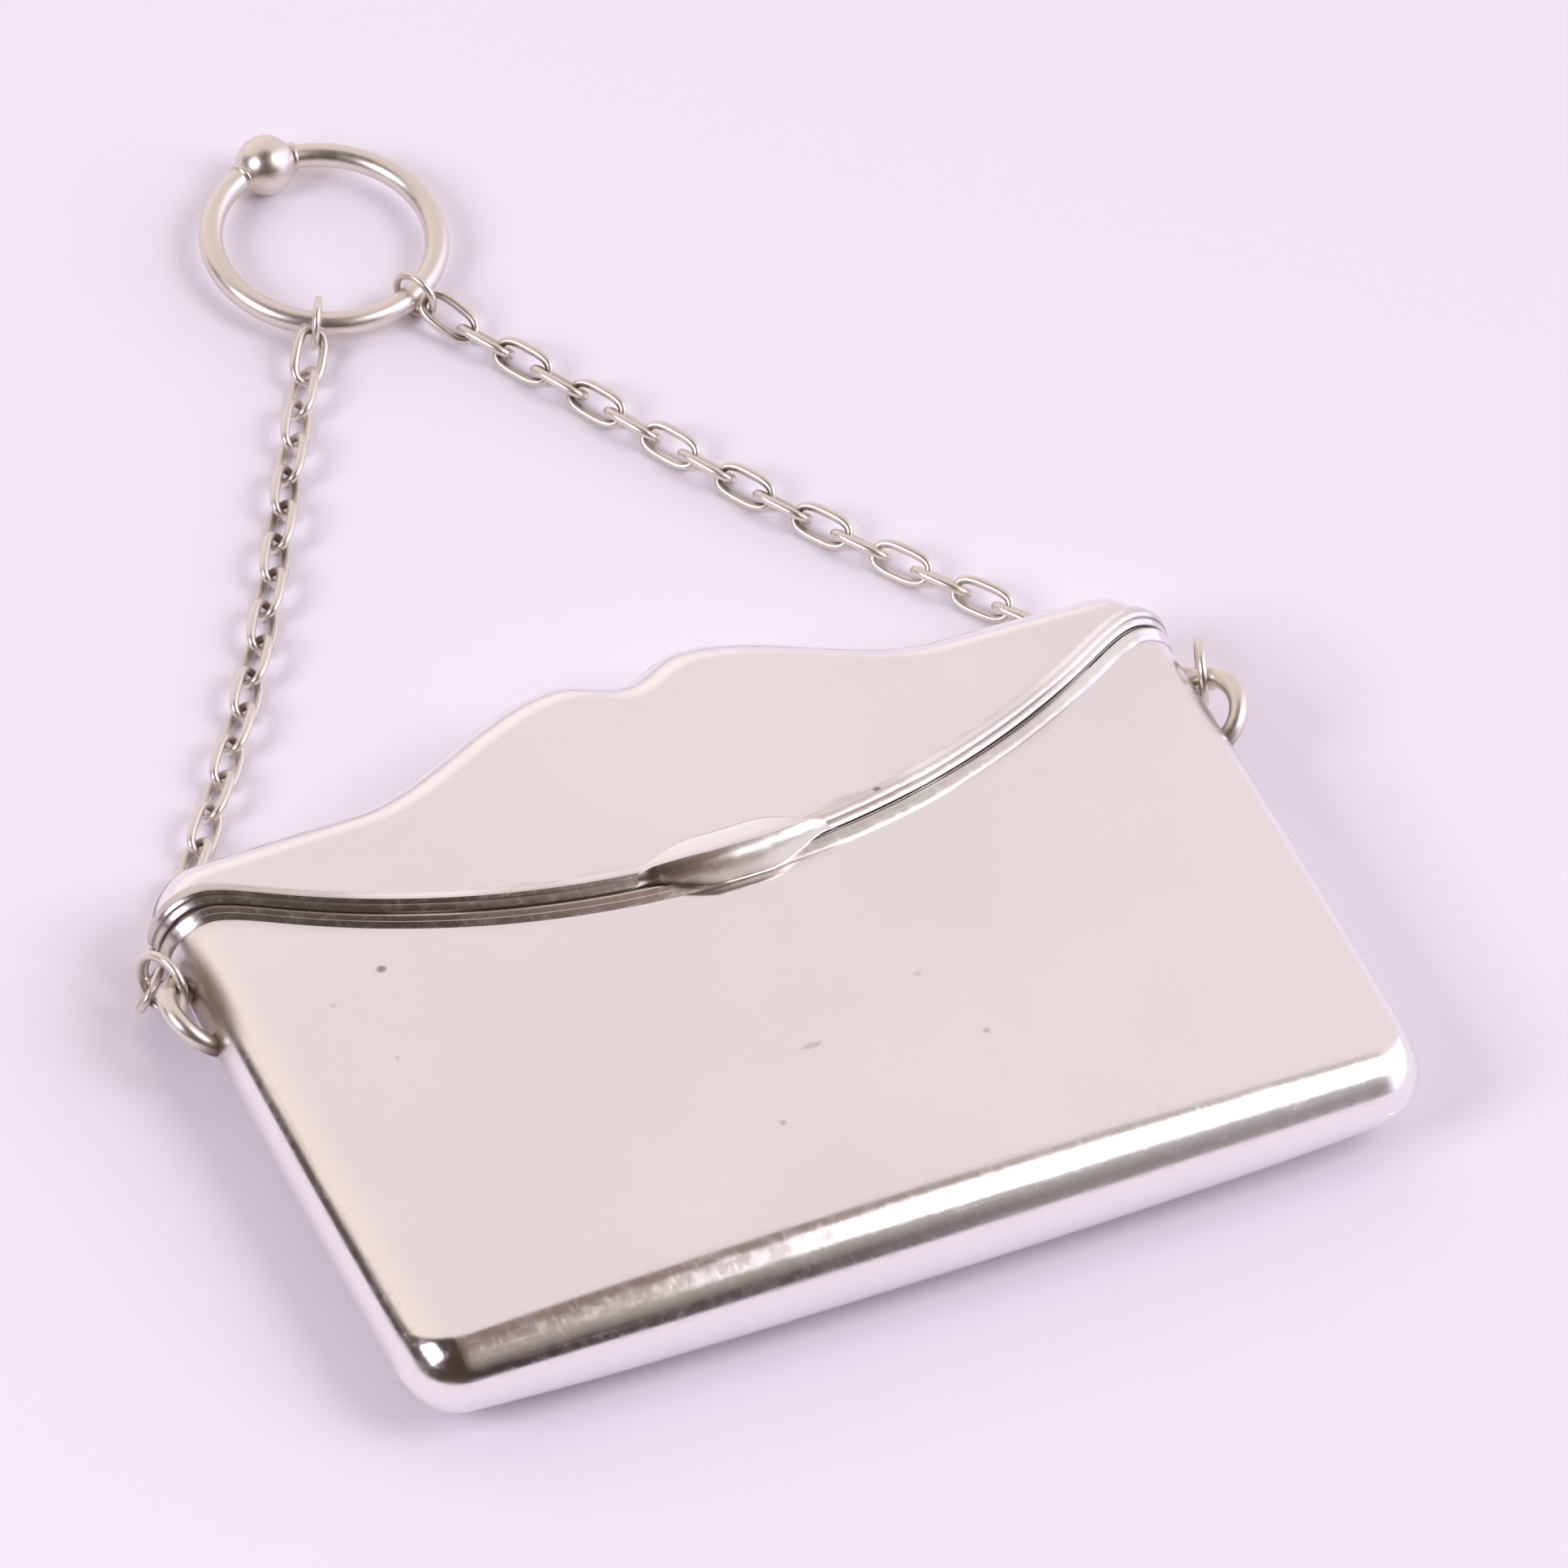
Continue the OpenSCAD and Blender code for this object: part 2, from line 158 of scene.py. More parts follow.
# East is the right of the case, north its top and height its front. Each is the share of that
# way in the direction that light comes from.
world = bpy.data.worlds.new("studio")
scene.world = world
world.use_nodes = True
world.node_tree.nodes.clear()
sky = Wire(world.node_tree)
east, north, height = sky.node("ShaderNodeTexCoord", {}, output=0).xyz()

# The tent's edge leans back over the case and comes nearer on the right. It is cooler there, and
# white at its foot.
tent_lean, tent_near = 0.52, 0.3
warm_cloth, cool_cloth, white_cloth = (0.96, 0.84, 0.78), (0.845, 0.755, 0.775), (1.02, 0.94, 0.94)
tent = (north + height * tent_lean + east.rise(-0.1, 0.9) * tent_near).rise(0.69, 0.75)
tent_side = east.rise(-0.9, 0.35).blend(warm_cloth, cool_cloth)
tent_white = north.rise(0.83, 0.93).blend(tent_side, white_cloth)

# The room is deep brown on the left, dim in the middle and lighter on the right, where the window
# is. Its dim and its lighter wall change with height.
deep_brown, wall_white, window_light = (0.064, 0.042, 0.028), (0.85, 0.80, 0.78), (1.27, 1.21, 1.62)
dim_side = sky.node("ShaderNodeValToRGB", {0: height}, stops=[
    (0.0, (0.025, 0.020, 0.018)), (0.34, (0.042, 0.031, 0.027)), (0.46, (0.21, 0.17, 0.145)),
    (0.66, (0.36, 0.315, 0.27)), (0.84, (0.36, 0.28, 0.235)), (0.95, (0.20, 0.14, 0.115)),
    (1.0, (0.30, 0.21, 0.17))])
lit_side = sky.node("ShaderNodeValToRGB", {0: height}, stops=[
    (0.0, (0.34, 0.29, 0.285)), (0.3, (0.30, 0.27, 0.27)), (0.6, (0.42, 0.39, 0.40)),
    (0.9, (0.50, 0.46, 0.43)), (1.0, (0.46, 0.40, 0.37))])
dark_west = east.rise(0.02, 0.2).blend(deep_brown, dim_side)
lit_room = east.rise(0.27, 0.37).blend(dark_west, lit_side)
near_window = east.rise(0.5, 0.62)
pale_wall = near_window.blend(lit_room, wall_white)
window = (near_window - height.rise(0.58, 0.74)).rise(0, 1)
surround = tent.blend(window.blend(pale_wall, window_light), tent_white)
back = sky.node("ShaderNodeBackground", {"Color": surround, "Strength": 1.0})
sky.node("ShaderNodeOutputWorld", {"Surface": back})


def softbox(name, direction, reach, wide, tall, power, tint):
    """A rectangular lamp at a distance along a direction from the case, facing it, with its two
    long edges level with X as far as it can turn."""
    lamp = bpy.data.lights.new(name, "AREA")
    lamp.shape = "RECTANGLE"
    lamp.size, lamp.size_y = wide, tall
    lamp.energy = power
    lamp.color = tint
    holder = bpy.data.objects.new(name, lamp)
    way = np.array(direction) / np.linalg.norm(direction)
    along = np.array([1, 0, 0]) - way[0] * way
    along /= np.linalg.norm(along)
    turned = Matrix(np.column_stack([along, np.cross(way, along), way]).tolist()).to_4x4()
    holder.matrix_world = Matrix.Translation(Vector(way * reach)) @ turned
    scene.collection.objects.link(holder)


softbox("key_softbox", direction=(0.52, -0.388, 0.761), reach=1.65, wide=0.747, tall=0.868,
        power=8.0, tint=(0.95, 0.92, 1.0))
softbox("side_lamp", direction=(-0.82, -0.06, 0.57), reach=1.5, wide=0.66, tall=0.66,
        power=11.0, tint=(0.88, 0.85, 1.0))

paper_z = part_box("body_hinge_leaf")[0].z
paper_half = 2.5
paper = bpy.data.meshes.new("paper")
corners = np.array([[-1, -1], [1, -1], [1, 1], [-1, 1]]) * paper_half
paper.from_pydata([(x, y, paper_z) for x, y in corners], [], [(0, 1, 2, 3)])
paper_sheet = bpy.data.objects.new("paper", paper)
scene.collection.objects.link(paper_sheet)
paper_finish = bpy.data.materials.new("lilac_paper")
paper_finish.use_nodes = True
paper_look = paper_finish.node_tree.nodes["Principled BSDF"].inputs
paper_look["Base Color"].default_value = (0.97, 0.93, 0.985, 1)
paper_look["Roughness"].default_value = 0.9
paper_look["Specular IOR Level"].default_value = 0.2
paper.materials.append(paper_finish)
paper_sheet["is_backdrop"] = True


# ---- Body of the case -----------------------------------------------------------------------
# Two shells of thin silver sheet, pressed to shape and soldered together along the sides and the
# bottom. The front is an arc across, the back has a flat in the middle, and both round over.
low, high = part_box("body_front_shell")
half_w = round(high.x, 4)
rest_y = -low.y                      # the bottom edge is this far below the middle of the back
mid_z = low.z
front_depth, back_depth = high.z - low.z, low.z
front_radius = 900 * mm
flat_half = 26 * mm
sheet = 0.55 * mm
corner_r = 5 * mm
bottom_bow = 0.9 * mm
side_belly, belly_y = 0.5 * mm, 34 * mm
seam_low, seam_radius, seam_reach = 41.8 * mm, 76.5 * mm, 43 * mm
seam_soft = 1.2 * mm
seam_gap = 0.3 * mm
side_y = seam_low + seam_radius - np.sqrt(seam_radius**2 - seam_reach**2)
side_r = ((2 * front_radius * front_depth - front_depth**2 - half_w**2)
          / (2 * front_radius - 2 * half_w))
back_side_r = 3.2 * mm
back_radius = (((half_w - back_side_r - flat_half)**2 + back_depth**2 - back_side_r**2)
               / (2 * (back_depth - back_side_r)))
flat_steps, face_steps, round_steps = 24, 60, 25


def section(flat, radius, depth, side, breaks=()):
    """Columns across a half of the case: level out to `flat`, an arc of a radius over the face,
    then a round down to the side. Gives x, height, and the normal's x and height."""
    side_x = half_w - side
    turn = np.arctan2(side_x - flat, radius - depth)
    over = np.linspace(0, turn, face_steps)
    face_x = flat + radius * np.sin(over)
    face_h = depth - radius * (1 - np.cos(over))
    round_a = np.linspace(turn, np.pi / 2, round_steps)[1:]
    level_x = np.array([])
    if flat:
        level_x = np.unique(np.concatenate([np.linspace(0, flat, flat_steps), breaks]))[:-1]
    x = np.concatenate([level_x, face_x, side_x + side * np.sin(round_a)])
    h = np.concatenate([level_x * 0 + depth, face_h, side * np.cos(round_a)])
    nx = np.concatenate([level_x * 0, np.sin(over), np.sin(round_a)])
    nh = np.concatenate([level_x * 0 + 1, np.cos(over), np.cos(round_a)])
    left = np.stack([-x, h, -nx, nh])[:, :0:-1]
    return np.concatenate([left, np.stack([x, h, nx, nh])], axis=1)


def ease(share):
    """0 below 0, 1 above 1, and three squares less two cubes of the share between them."""
    held = np.clip(share, 0, 1)
    return held * held * (3 - 2 * held)


def bell(distance, width):
    """1 at no distance, falling off on both sides: e to the minus square of distance by width."""
    return np.exp(-(distance / width)**2)


def corner(x):
    """Height that a rounded corner of the outline takes off at x: a quarter circle."""
    past = np.clip(np.abs(x) - half_w + corner_r, 0, corner_r)
    return corner_r - np.sqrt(corner_r**2 - past**2)


def bottom(x):
    """Height of the bottom edge: a shallow parabola with round corners."""
    return bottom_bow * (x / half_w)**2 + corner(x)


def front_seam(x):
    """Height of the front seam: an arc that turns level at its reach, with a soft turn there."""
    short = seam_soft * np.log1p(np.exp((seam_reach - np.abs(x)) / seam_soft))
    return seam_low + seam_radius - np.sqrt(seam_radius**2 - (seam_reach - short)**2)


def belly(y):
    """Share of the full width at a height: a parabola, widest half way up."""
    return 1 - side_belly / half_w * ((y - belly_y) / belly_y)**2


def grid_faces(rows, columns, start=0, closed=False):
    """Four-cornered faces of a grid of points numbered row by row, joined round if closed."""
    r = np.arange(rows - 1)[:, None]
    c = np.arange(columns if closed else columns - 1)[None, :]
    d = (c + 1) % columns
    return np.stack([r * columns + c, r * columns + d, (r + 1) * columns + d,
                     (r + 1) * columns + c], axis=-1).reshape(-1, 4) + start


def outward(points, faces):
    """The faces turned over if the volume that they enclose comes out negative."""
    a, b, c, d = (points[faces[:, k]] for k in range(4))
    volume = (a * (np.cross(b, c) + np.cross(c, d))).sum()
    return faces if volume > 0 else faces[:, ::-1]


sharp_past = np.radians(40).item()


def make_piece(name, points, faces, body, node, finish, crease):
    """Puts points and faces into a mesh, smooth but for its sharp bends, with a number for each point
    that says how much brown is painted there: tarnish, and on the case's front also painted shade
    beside the loops and a painted dark reflection along the lid's crest. The piece stands for its CAD
    node and moves with its body."""
    mesh = bpy.data.meshes.new(name)
    mesh.from_pydata(points, [], outward(points, faces).tolist())
    mesh.shade_smooth()
    mesh.set_sharp_from_angle(angle=sharp_past)
    mark = mesh.attributes.new("crease", "FLOAT", "POINT")
    mark.data.foreach_set("value", np.ravel(crease).astype(np.float32))
    mesh.materials.append(finish)
    piece = bpy.data.objects.new(name, mesh)
    scene.collection.objects.link(piece)
    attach(piece, body)
    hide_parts(node)


edge_steps, run_steps = 20, 30
round_most = 0.85                    # of a column's length, for the round at the closed edge
inset_most = 0.6                     # of that round, for the inside's distance from the edge


def half_shell(columns, edge, seam, facing, side, ease_in=1.0):
    """A pressed shell: each column rounds over the closed edge along an ellipse that is as deep as
    the column and reaches ease_in times as far up, then runs straight to the seam. The inside is
    the same grid one sheet further in. Facing is 1 for the front half and -1 for the back half.
    Gives points, faces and each point's distance from the seam."""
    x, h, nx, nh = columns[:, :, None]
    edge, seam = edge[:, None], seam[:, None]
    way = np.sign(seam - edge)
    r = np.minimum(ease_in * np.maximum(h, side), round_most * np.abs(seam - edge))
    turns = np.linspace(0, np.pi / 2, edge_steps)[None, :]
    run = np.linspace(0, 1, run_steps)[None, 1:]
    skins = []
    for inset in (0, sheet):
        rolled = edge + way * (r * (1 - np.cos(turns))
                               + np.minimum(inset, inset_most * r) * np.cos(turns))
        straight = edge + way * r + (seam - edge - way * r) * run
        y = np.concatenate([rolled, straight], axis=1)
        lift = np.concatenate([np.sin(turns), run * 0 + 1], axis=1)
        skins.append(np.stack([(x - inset * nx) * belly(y), y - rest_y,
                               mid_z + facing * (h - inset * nh) * lift], axis=-1))
    n, m = skins[0].shape[:2]
    size = n * m
    rim = np.concatenate([np.arange(m), np.arange(1, n) * m + m - 1,
                          (n - 1) * m + np.arange(m - 2, -1, -1), np.arange(n - 2, 0, -1) * m])
    after = np.roll(rim, -1)
    faces = np.concatenate([grid_faces(n, m), grid_faces(n, m, size)[:, ::-1],
                            np.stack([after, rim, rim + size, after + size], axis=-1)])
    to_seam = np.abs(skins[0][:, :, 1] + rest_y - seam)
    return (np.concatenate([skin.reshape(-1, 3) for skin in skins]), faces,
            np.tile(to_seam.ravel(), 2))


def silver(name, tarnish, scratch, dull=0.0, warm=(1, 1, 1), marks=()):
    """Worn sterling silver. Roughness and colour drift over the sheet, fine scratches run two ways,
    small dings bend the surface, and brown sits where the per-point mark is near 1: tarnish, and in a
    few places painted shade and a painted dark reflection.
    Each of the marks is a dark spot on the front: its place across and up the case and its spread
    across and up, in millimetres, and how dark it is."""
    material = bpy.data.materials.new(name)
    material.use_nodes = True
    tree = material.node_tree
    shader = tree.nodes["Principled BSDF"]
    at = Wire(tree)
    place = at.node("ShaderNodeTexCoord", {}, output=3)
    crease = at.node("ShaderNodeAttribute", {}, output=2, attribute_name="crease")

    def noise(scale, detail=2.0, stretch=(1, 1, 1), turn=0.0):
        """Smooth noise of a scale per metre, drawn out along one axis."""
        laid = at.node("ShaderNodeMapping",
                       {"Vector": place, "Scale": stretch, "Rotation": (0, 0, turn)})
        return at.node("ShaderNodeTexNoise", {"Vector": laid, "Scale": scale, "Detail": detail})

    cloud = noise(38, 3)
    grain = noise(900)
    fine = (noise(2600, 1, (1, 0.03, 1), 0.5).rise(0.56, 0.74)
            + noise(2300, 1, (0.03, 1, 1), -0.3).rise(0.58, 0.76)) * scratch
    # Brown from the per-point mark: tarnish in seams, joints and hollows, with painted shade beside the
    # loops' feet and a painted dark reflection along the lid's crest.
    tarnish_and_shade_mix = (crease * cloud.rise(0.30, 0.62)).rise(0.05, 0.9) * tarnish
    spots = 0
    if marks:
        x, y, z = place.xyz()
        for mark_x, mark_y, wide, tall, dark in marks:
            off = (x - mark_x * mm) * (1 / (wide * mm))
            up = (y - mark_y * mm) * (1 / (tall * mm))
            spots = spots + (1 - off * off - up * up).rise(0, 1) * dark
        front_only = z.rise(6 * mm, 7 * mm)
        spots = spots * front_only

    pale, bright = np.array([[0.925, 0.895, 0.875], [0.955, 0.925, 0.905]]) * warm
    brown = (0.22, 0.155, 0.10)
    colour = (tarnish_and_shade_mix + spots).blend(cloud.rise(0.35, 0.7).blend(pale, bright), brown)
    tree.links.new(colour.socket, shader.inputs["Base Color"])
    polish = 0.12 + dull
    rough = (polish + 0.07 * cloud + 0.05 * grain.rise(0.4, 0.7) + 0.10 * fine + 0.20 * tarnish_and_shade_mix)
    tree.links.new(rough.socket, shader.inputs["Roughness"])
    shader.inputs["Metallic"].default_value = 1.0
    dings, dents = noise(420, 3), noise(95)
    waves = dents * 0.05 + dings * 0.006 + grain * 0.0012 - fine * 0.0008 - spots * 0.02
    bump = at.node("ShaderNodeBump", {"Height": waves, "Strength": 1.0, "Distance": mm})
    tree.links.new(bump.socket, shader.inputs["Normal"])
    return material


sheet_silver = silver("sheet_silver", tarnish=0.8, scratch=0.5, marks=[
    (-2.6, -9.6, 1.2, 0.4, 0.3), (-8.35, -16.4, 0.4, 0.4, 0.35), (-38.0, 9.7, 0.4, 0.35, 0.2),
    (11.9, -13.4, 0.4, 0.4, 0.35), (9.1, -5.6, 0.5, 0.4, 0.2), (14.4, 14.0, 0.5, 0.4, 0.6),
    (-32.7, 11.75, 0.6, 0.5, 0.75), (-35.3, 2.4, 0.25, 0.25, 0.25)])
front_columns = section(0, front_radius, front_depth, side_r)
knuckle_end, knuckle_step = 22.1 * mm, 0.02 * mm
back_columns = section(flat_half, back_radius, back_depth, back_side_r,
                       (knuckle_end - knuckle_step, knuckle_end + knuckle_step))
seam_stain = 1.4 * mm                # how far the tarnish along a seam reaches
loop_y = 47.2 * mm                   # height of the side loops, above the bottom edge
foot_x, foot_soft, foot_tall = 44.5 * mm, 2 * mm, 6 * mm


def side_shade_by_loops(points):
    """Painted shade on the case's sides beside the feet of the loops: 1 there, an S across and a bell
    up the case.
    """
    beside = ease((np.abs(points[:, 0]) - foot_x) / foot_soft)
    return beside * bell(points[:, 1] - loop_y + rest_y, foot_tall)


# The front shell's brown: tarnish along the seam, and painted shade on its sides beside the loops'
# feet.
points, faces, reach = half_shell(front_columns, bottom(front_columns[0]),
                                  front_seam(front_columns[0]) - seam_gap / 2, 1, side_r)
make_piece("body_front", points, faces, "case_body", "body_front_shell",
           sheet_silver, np.maximum(bell(reach, seam_stain), side_shade_by_loops(points)))
hinge_half = 0.75 * mm
back_edge = np.where(np.abs(back_columns[0]) < knuckle_end, hinge_half, seam_gap / 2)
points, faces, reach = half_shell(back_columns, bottom(back_columns[0]), side_y - back_edge, -1,
                                  back_side_r)
make_piece("body_back", points, faces, "case_body", "body_back_shell",
           sheet_silver, bell(reach, seam_stain))


# ---- Rim and liner of the body's mouth ------------------------------------------------------
# A drawn strip of silver is soldered along the mouth, and a thin liner strip stands up inside it,
# for the lid to close over.
def smooth_line(knots, steps):
    """A smooth line through knots: each stretch is a cubic whose slope at a knot is half the way
    between the knot's two neighbours."""
    knots = np.asarray(knots, float)
    padded = np.concatenate([knots[:1], knots, knots[-1:]])
    t = np.linspace(0, 1, steps, endpoint=False)[:, None]
    a, b, c, d = (padded[k:len(padded) - 3 + k][:, None] for k in range(4))
    curve = (b + 0.5 * t * (c - a) + t**2 * (a - 2.5 * b + 2 * c - 0.5 * d)
             + t**3 * (1.5 * (b - c) + 0.5 * (d - a)))
    return np.concatenate([curve.reshape(-1, knots.shape[1]), knots[-1:]])


def strip_faces(rings, sides):
    """Faces of a closed tube of rings, with a cap of quads at both ends."""
    half = np.arange(sides // 2 - 1)
    cap = np.stack([half, half + 1, sides - 2 - half, sides - 1 - half], axis=-1)
    return np.concatenate([grid_faces(rings, sides, closed=True)[:, ::-1], cap,
                           cap[:, ::-1] + (rings - 1) * sides])


def seam_strip(x, profile):
    """Carries a profile along the front seam. At each x, the profile's points are [height from
    the seam, how far out of the case]; out is along the front's own normal."""
    cx, h, nx, nh = (np.interp(x, front_columns[0], row)[:, None] for row in front_columns)
    y = front_seam(x)[:, None] + profile[..., 0]
    out = profile[..., 1]
    return np.stack([(cx + out * nx) * belly(y), y - rest_y, mid_z + h + out * nh], axis=-1)


def add_strip(name, x, profile, body, node, crease):
    """A piece of sheet silver: a profile carried along the front seam, closed at both ends."""
    points = seam_strip(x, profile)
    rings, sides = points.shape[:2]
    make_piece(name, points.reshape(-1, 3), strip_faces(rings, sides), body, node,
               sheet_silver, np.broadcast_to(crease, (rings, sides)))


def on_floor(line, start, end):
    """The profile of a strip in metres: a line of its outside in millimetres, then a floor as many
    points long from one height to the other, just under the sheet."""
    floor = np.stack([np.linspace(start, end, len(line)), np.full(len(line), -0.1)], axis=-1)
    return np.concatenate([line, floor])[None] * mm


strip_x = front_columns[0]
profile_steps = 5
rim_tarnish = 0.5                    # all over a rim, with more of it in its grooves
body_rim = on_floor(smooth_line(
    [[-0.2, 0.10], [-0.21, 0.36], [-0.25, 0.44], [-0.36, 0.44], [-0.62, 0.36], [-0.88, 0.27],
     [-0.95, 0.255], [-1.2, 0.16], [-1.5, 0.03]], profile_steps), -1.5, -0.2)
rim_up = body_rim[..., 0] / mm
add_strip("body_rim_strip", strip_x, body_rim, "case_body", "body_rim",
          rim_tarnish + bell(rim_up + 0.2, 0.15) + bell(rim_up + 1.5, 0.12))

liner_play = 0.03
liner_in = liner_play - sheet / mm
liner_line = np.array([[-3, liner_in], [-0.9, liner_in], [-0.4, -0.75], [1.6, -0.75],
                       [1.6, -1.15], [-0.5, -1.15], [-1, liner_in - 0.4],
                       [-3, liner_in - 0.4]]) * mm
liner_half = 39.4 * mm
add_strip("mouth_liner_strip", strip_x[np.abs(strip_x) < liner_half], liner_line[None],
          "case_body", "mouth_liner", 0.35)


# ---- Lid --------------------------------------------------------------------------------------
# A flap of two more pressed shells, with a crest of two lobes along its top. It is hinged at the
# back, and a reeded moulding runs along its front edge.
shoulder_y, shoulder_droop = 62.2 * mm, 0.7 * mm
crest_rise, crest_foot, crest_lobe, crest_notch = 6.6 * mm, 27.5 * mm, 6 * mm, 1.9 * mm
back_ease = 1.45


def lid_top(x):
    """Height of the lid's top: shoulders that droop along a parabola, a crest that rises along an
    S, and a cosine notch between its lobes."""
    notch = np.where(np.abs(x) < crest_lobe,
                     crest_notch * (0.5 + 0.5 * np.cos(np.pi * x / crest_lobe)), 0)
    crest = crest_rise * ease((crest_foot - np.abs(x)) / (crest_foot - crest_lobe)) - notch
    return shoulder_y - shoulder_droop * (x / half_w)**2 + crest - corner(x)


points, faces, reach = half_shell(front_columns, lid_top(front_columns[0]),
                                  front_seam(front_columns[0]) + seam_gap / 2, 1, side_r)
from_top = lid_top(points[:, 0]) - points[:, 1] - rest_y
# On the lid's front: tarnish in a line just above the moulding, and a painted dark reflection in a line
# along the crest's edge.
moulding_line = 0.385 * bell(reach - 2.65 * mm, 0.18 * mm)
crest_dark_reflection = 1.12 * bell(from_top - 0.8 * mm, 0.35 * mm)
make_piece("lid_front", points, faces, "lid", "lid_front_shell", sheet_silver,
           moulding_line + crest_dark_reflection)
points, faces, reach = half_shell(back_columns, lid_top(back_columns[0]), side_y + back_edge, -1,
                                  back_side_r, back_ease)
make_piece("lid_back", points, faces, "lid", "lid_back_shell", sheet_silver,
           bell(reach, seam_stain))

lid_rim = on_floor(smooth_line(
    [[2.5, 0.06], [2.46, 0.30], [2.3, 0.46], [2.0, 0.60], [1.7, 0.72], [1.5, 0.77], [1.36, 0.77],
     [1.22, 0.72], [1.04, 0.64], [0.92, 0.54], [0.87, 0.53], [0.6, 0.44], [0.4, 0.35],
     [0.27, 0.26], [0.2, 0.12]], profile_steps), 0.2, 2.5)
rim_up = lid_rim[..., 0] / mm
add_strip("lid_rim_moulding", strip_x, lid_rim, "lid", "lid_rim",
          rim_tarnish + sum(bell(rim_up - groove, 0.1) for groove in (2.55, 0.9, 0.2)))


# ---- Thumb piece ------------------------------------------------------------------------------
# A leaf of thicker silver, filed to a lip, is soldered over the middle of the moulding. A thumb
# lifts the lid by the part that hangs over the body's rim.
thumb_half, thumb_steps = 10.3 * mm, 81
thumb_x = np.linspace(-1, 1, thumb_steps) * thumb_half
outer = np.abs(thumb_x) / thumb_half              # 0 in the leaf's middle and 1 at its ends

# In millimetres: how much the leaf swells, how far it stands out, and its lower and upper edge.
swell = 0.35 + 0.65 * np.cos(outer * np.pi / 2)
stand = ease((1 - outer) / 0.3)
foot = 0.24 - 2.05 * ease((0.93 - outer) / 0.75)
peak = 1.9 + 2.35 * ease((1 - outer) / 0.75)
root, under, lip, ledge = 0.1, -0.1, 0.62, 0.25


def leaf_line(up, out):
    """Points along the leaf at a share of its height, standing out by a measure in millimetres
    that sinks to the root's at both ends."""
    return np.stack([foot + up * (peak - foot), root + (out - root) * stand])


ledge_line = np.full(thumb_steps, ledge)
leaf_back = [leaf_line(1, under)]
leaf_face = [leaf_line(1, 0.15), leaf_line(0.78, 0.4 + 0.35 * swell),
             leaf_line(0.60, 0.5 + 0.95 * swell), leaf_line(0.50, 0.6 + 1.15 * swell),
             leaf_line(0.25, 0.6 + 0.55 * swell), leaf_line(0, lip + 0.1), leaf_line(0, lip)]
leaf_ledge = [np.stack([ledge_line, root + (lip - root) * stand]),
              np.stack([ledge_line, np.full(thumb_steps, under)])]
leaf_smooth = smooth_line(np.stack(leaf_face).reshape(len(leaf_face), -1), 6)
thumb_line = np.concatenate([leaf_back, leaf_smooth.reshape(-1, 2, thumb_steps), leaf_ledge])
thumb_line = thumb_line.transpose(2, 0, 1) * mm
add_strip("thumb_leaf", thumb_x, thumb_line, "lid", "thumb_piece",
          0.8 * bell(thumb_line[..., 1] / mm - root, 0.12))


# ---- Hinge ------------------------------------------------------------------------------------
# Five short tubes of silver on one steel pin join the lid to the body across the back. They keep
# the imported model's shape.
wire_silver = silver("wire_silver", tarnish=0.9, scratch=0.3, dull=0.17, warm=(0.88, 0.845, 0.765))
pin_steel = silver("pin_steel", tarnish=0.3, scratch=0.6)
for node, finish in (("body_hinge_leaf", wire_silver), ("lid_hinge_leaf", wire_silver),
                     ("hinge_pin", pin_steel)):
    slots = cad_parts[node].data.materials
    slots.clear()
    slots.append(finish)


# ---- Side loops and jump rings ----------------------------------------------------------------
# A half ring of round wire is soldered to each side below the seam. A jump ring hangs in it and
# takes the first link of its strand.
def unit(v):
    """A vector, or each of a row of vectors, divided by its length."""
    return v / np.linalg.norm(v, axis=-1, keepdims=True)


def tube(path, radius, sides=20, closed=True):
    """A round tube of a radius round a flat path: each ring stands across the path's direction
    and starts on the outside of its bend. Gives points, faces and each point's turn from there."""
    ahead = np.roll(path, -1, axis=0) - np.roll(path, 1, axis=0)
    if not closed:
        ahead[0], ahead[-1] = path[1] - path[0], path[-1] - path[-2]
    ahead = unit(ahead)
    third = len(path) // 3
    plane = unit(np.cross(path[third] - path[0], path[2 * len(path) // 3] - path[0]))
    out = unit(np.cross(ahead, plane))
    turn = np.linspace(0, 2 * np.pi, sides, endpoint=False)
    ring = out[:, None] * np.cos(turn)[None, :, None] + plane * np.sin(turn)[None, :, None]
    points = path[:, None] + ring * np.broadcast_to(radius, len(path))[:, None, None]
    if closed:
        faces = grid_faces(len(path) + 1, sides, closed=True) % (len(path) * sides)
    else:
        faces = strip_faces(len(path), sides)
    return points.reshape(-1, 3), faces, np.tile(turn, len(path))


def ring_path(centre, normal, radius, count=96):
    """A circle of a radius round a centre, across a normal."""
    side = unit(np.cross(normal, [0, 0, 1]))
    t = np.linspace(0, 2 * np.pi, count, endpoint=False)[:, None]
    return centre + radius * (np.cos(t) * side + np.sin(t) * np.cross(normal, side))


def inside(turn):
    """0 on the outside of a bent wire and 1 on its inside, along a cosine."""
    return 0.5 - 0.5 * np.cos(turn)


